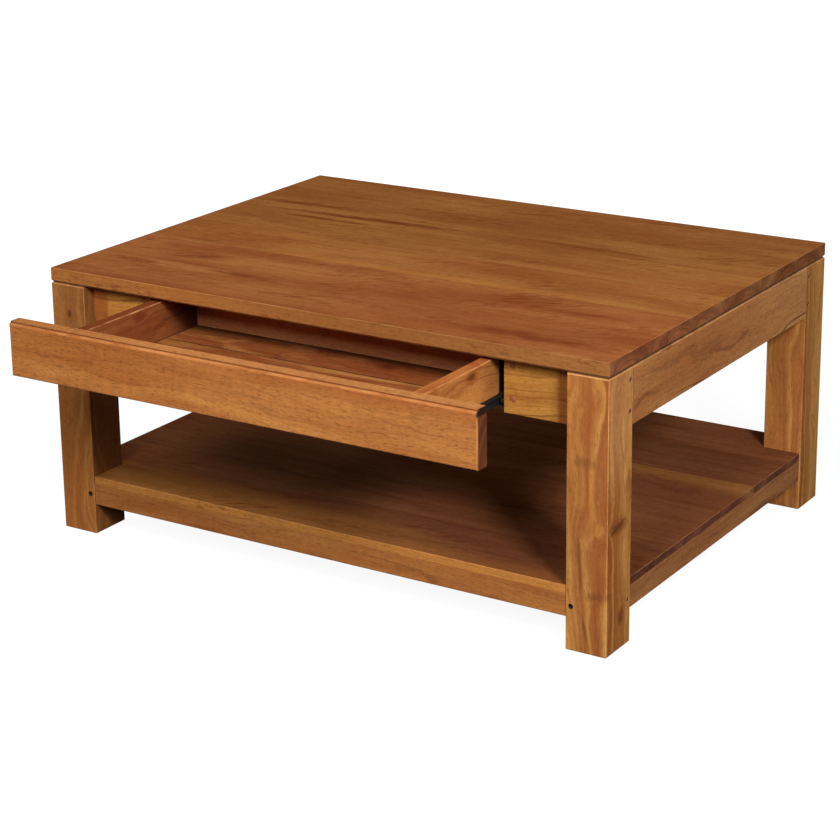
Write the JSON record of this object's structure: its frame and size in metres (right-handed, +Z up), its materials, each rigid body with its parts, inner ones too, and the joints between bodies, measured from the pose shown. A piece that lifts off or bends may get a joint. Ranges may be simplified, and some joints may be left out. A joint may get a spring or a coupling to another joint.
{
  "type": "coffee table",
  "caption": "Low rectangular hardwood coffee table with a wide handleless drawer on roller slides and an open boarded lower shelf between thick square legs.",
  "frame": {"origin": "middle of the four feet's outer rectangle, on the floor", "axes": "+X along the table's length to the right as seen from the drawer, +Y from the drawer front towards the back, +Z up"},
  "size_m": [1, 0.95, 0.44],
  "materials": {
    "top_wood": "satin oiled hardwood, honey to red-brown boards",
    "leg_wood": "satin oiled hardwood, upright grain",
    "apron_wood": "satin oiled hardwood",
    "block_wood": "satin oiled hardwood, paler where the drawer covers it",
    "drawer_front_wood": "satin oiled hardwood, moulded top edge",
    "drawer_box_wood": "plain planed hardwood",
    "shelf_wood": "satin oiled hardwood, dark red-brown",
    "shelf_rail_wood": "satin oiled hardwood",
    "hidden_wood": "planed hardwood",
    "peg_wood": "dark end grain",
    "dowel_wood": "reddish end grain",
    "slide_steel": "dark coated sheet",
    "roller_plastic": "moulded, dark",
    "screw_steel": "zinc plated"
  },
  "bodies": {
    "table": {"apron_pegs": "peg_wood", "back_apron": "apron_wood", "block_dowels": "dowel_wood", "channel_screws": "screw_steel", "cleat_screws": "screw_steel", "front_block_left": "block_wood", "front_block_right": "block_wood", "front_roller_pin_left": "slide_steel", "front_roller_pin_right": "slide_steel", "guide_rail_left": "hidden_wood", "guide_rail_right": "hidden_wood", "leg_back_left": "leg_wood", "leg_back_right": "leg_wood", "leg_front_left": "leg_wood", "leg_front_right": "leg_wood", "shelf_bearer": "hidden_wood", "shelf_board_1": "shelf_wood", "shelf_board_2": "shelf_wood", "shelf_board_3": "shelf_wood", "shelf_board_4": "shelf_wood", "shelf_board_5": "shelf_wood", "shelf_board_6": "shelf_wood", "shelf_pegs": "peg_wood", "shelf_rail_back": "shelf_rail_wood", "shelf_rail_front": "shelf_rail_wood", "shelf_rail_left": "shelf_rail_wood", "shelf_rail_right": "shelf_rail_wood", "side_apron_left": "apron_wood", "side_apron_right": "apron_wood", "slide_channel_left": "slide_steel", "slide_channel_right": "slide_steel", "top_board_1": "top_wood", "top_board_2": "top_wood", "top_board_3": "top_wood", "top_board_4": "top_wood", "top_board_5": "top_wood", "top_board_6": "top_wood", "top_cleat_left": "hidden_wood", "top_cleat_right": "hidden_wood"},
    "drawer": {"drawer_back": "drawer_box_wood", "drawer_bottom_board_1": "drawer_box_wood", "drawer_bottom_board_2": "drawer_box_wood", "drawer_bottom_board_3": "drawer_box_wood", "drawer_front": "drawer_front_wood", "drawer_side_left": "drawer_box_wood", "drawer_side_right": "drawer_box_wood", "rail_screws": "screw_steel", "rear_roller_pin_left": "slide_steel", "rear_roller_pin_right": "slide_steel", "slide_rail_left": "slide_steel", "slide_rail_right": "slide_steel"},
    "front_roller_left_wheel": {"front_roller_left": "roller_plastic"},
    "front_roller_right_wheel": {"front_roller_right": "roller_plastic"},
    "rear_roller_left_wheel": {"rear_roller_left": "roller_plastic"},
    "rear_roller_right_wheel": {"rear_roller_right": "roller_plastic"}
  },
  "joints": [
    {"name": "drawer_slide", "type": "slide", "parent": "table", "child": "drawer", "axis": [0, -1, 0], "range_m": [-0.2, 0.02]},
    {"name": "front_roller_left_spin", "type": "hinge", "parent": "table", "child": "front_roller_left_wheel", "pos_m": [-0.3139, -0.339, 0.3465], "axis": [1, 0, 0], "continuous": true},
    {"name": "front_roller_right_spin", "type": "hinge", "parent": "table", "child": "front_roller_right_wheel", "pos_m": [0.3139, -0.339, 0.3465], "axis": [1, 0, 0], "continuous": true},
    {"name": "rear_roller_left_spin", "type": "hinge", "parent": "drawer", "child": "rear_roller_left_wheel", "pos_m": [-0.3111, -0.271, 0.3465], "axis": [1, 0, 0], "continuous": true},
    {"name": "rear_roller_right_spin", "type": "hinge", "parent": "drawer", "child": "rear_roller_right_wheel", "pos_m": [0.3111, -0.271, 0.3465], "axis": [1, 0, 0], "continuous": true}
  ],
  "couplings": [
    {"joint": "front_roller_left_spin", "follows": "drawer_slide", "rad_per_m": 142.86},
    {"joint": "front_roller_right_spin", "follows": "drawer_slide", "rad_per_m": 142.86},
    {"joint": "rear_roller_left_spin", "follows": "drawer_slide", "rad_per_m": 142.86},
    {"joint": "rear_roller_right_spin", "follows": "drawer_slide", "rad_per_m": 142.86}
  ]
}
